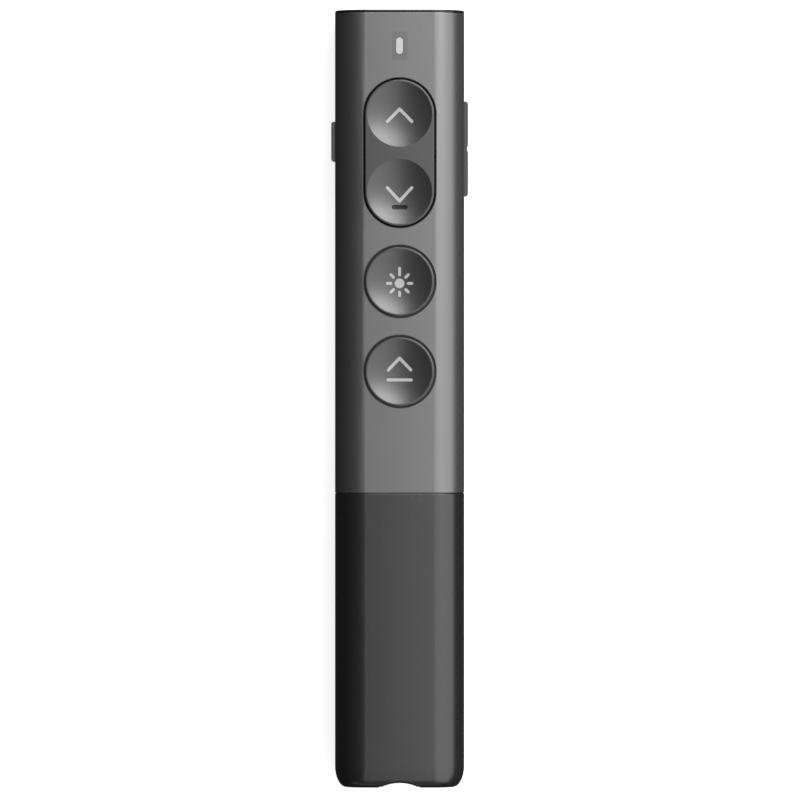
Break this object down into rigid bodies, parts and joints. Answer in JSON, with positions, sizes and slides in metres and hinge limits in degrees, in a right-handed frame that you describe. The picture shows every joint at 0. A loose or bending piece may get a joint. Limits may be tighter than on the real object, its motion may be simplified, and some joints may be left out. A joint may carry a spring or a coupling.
{
  "type": "presentation clicker",
  "caption": "Slim hand-held wireless presentation clicker with dished keys, side slide switch and rocker, laser nose, pull-off battery sleeve and stowed USB receiver.",
  "frame": {"origin": "on the resting back face, under the centre of the length and width", "axes": "+Y along the body to the nose with the laser, +X to its right side (volume rocker), +Z out of the key face"},
  "size_m": [0.0248, 0.1401, 0.015],
  "materials": {
    "body_grey": "satin paint on ABS",
    "sleeve_dark": "satin",
    "key_grey": "satin",
    "side_key_grey": "satin",
    "legend_grey": "matt print",
    "nose_black": "gloss",
    "window_red": "tinted clear",
    "lens_glass": "polished",
    "barrel_brass": "turned",
    "board_green": "solder mask",
    "wire_red": "PVC",
    "indicator_grey": "satin",
    "pipe_white": "frosted clear",
    "led_white": "moulded",
    "switch_black": "moulded",
    "switch_steel": "stamped",
    "silicone": "matt",
    "chip_black": "moulded",
    "antenna_ceramic": "fired",
    "capacitor_tan": "fired",
    "screw_steel": "plated",
    "chassis_black": "moulded",
    "contact_nickel": "nickel plate",
    "cell_print": "printed film",
    "cell_steel": "nickel plate",
    "receiver_black": "satin",
    "plug_steel": "nickel plate",
    "tongue_white": "moulded",
    "contact_gold": "gold plate"
  },
  "bodies": {
    "casing": {"front_shell": "body_grey", "back_shell": "body_grey", "nose_cap": "nose_black", "laser_window": "window_red", "laser_barrel": "barrel_brass", "laser_lens": "lens_glass", "laser_diode": "contact_nickel", "laser_board": "board_green", "laser_wires": "wire_red", "indicator_window": "indicator_grey", "light_pipe": "pipe_white", "status_led": "led_white", "main_board": "board_green", "page_up_switch": "switch_black", "page_down_switch": "switch_black", "laser_switch": "switch_black", "screen_switch": "switch_black", "page_up_pad": "silicone", "page_down_pad": "silicone", "laser_pad": "silicone", "screen_pad": "silicone", "volume_up_switch": "switch_black", "volume_down_switch": "switch_black", "power_switch": "switch_steel", "radio_chip": "chip_black", "crystal": "switch_steel", "antenna": "antenna_ceramic", "capacitors": "capacitor_tan", "resistors": "chip_black", "board_screws": "screw_steel", "chassis_screws": "screw_steel", "chassis": "chassis_black", "positive_contact": "contact_nickel", "negative_contact": "contact_nickel", "contact_spring": "contact_nickel", "cell_jacket": "cell_print", "cell_can": "cell_steel", "cell_cap": "cell_steel", "page_axle": "screw_steel"},
    "page_key": {"page_key": "key_grey", "page_up_legend": "legend_grey", "page_down_legend": "legend_grey"},
    "laser_key": {"laser_key": "key_grey", "laser_legend": "legend_grey"},
    "screen_key": {"screen_key": "key_grey", "screen_legend": "legend_grey"},
    "volume_rocker": {"volume_rocker": "side_key_grey"},
    "power_knob": {"power_knob": "side_key_grey", "power_switch_lever": "switch_black"},
    "battery_cap": {"battery_cap": "sleeve_dark", "receiver_bay": "chassis_black"},
    "usb_receiver": {"receiver_grip": "receiver_black", "plug_shell": "plug_steel", "plug_tongue": "tongue_white", "plug_contacts": "contact_gold"}
  },
  "joints": [
    {"name": "page_key_tilt", "type": "hinge", "parent": "casing", "child": "page_key", "pos_m": [0, 0.04425, 0.01225], "axis": [1, 0, 0], "range_deg": [-1.8, 1.8], "stiffness_Nm_per_rad": 0.02, "deforming": ["page_up_pad", "page_down_pad"]},
    {"name": "laser_key_press", "type": "slide", "parent": "casing", "child": "laser_key", "axis": [0, 0, -1], "range_m": [0, 0.00035], "stiffness_N_per_m": 400, "deforming": ["laser_pad"]},
    {"name": "screen_key_press", "type": "slide", "parent": "casing", "child": "screen_key", "axis": [0, 0, -1], "range_m": [0, 0.00035], "stiffness_N_per_m": 400, "deforming": ["screen_pad"]},
    {"name": "volume_rocker_tilt", "type": "hinge", "parent": "casing", "child": "volume_rocker", "pos_m": [0.00955, 0.04513, 0.0075], "axis": [0, 0, 1], "range_deg": [-2, 2], "stiffness_Nm_per_rad": 0.01},
    {"name": "power_slide", "type": "slide", "parent": "casing", "child": "power_knob", "axis": [0, -1, 0], "range_m": [0, 0.0019]},
    {"name": "battery_cap_pull", "type": "slide", "parent": "casing", "child": "battery_cap", "axis": [0, -1, 0], "range_m": [0, 0.045]},
    {"name": "receiver_pull", "type": "slide", "parent": "battery_cap", "child": "usb_receiver", "axis": [0, -1, 0], "range_m": [0, 0.02]}
  ]
}
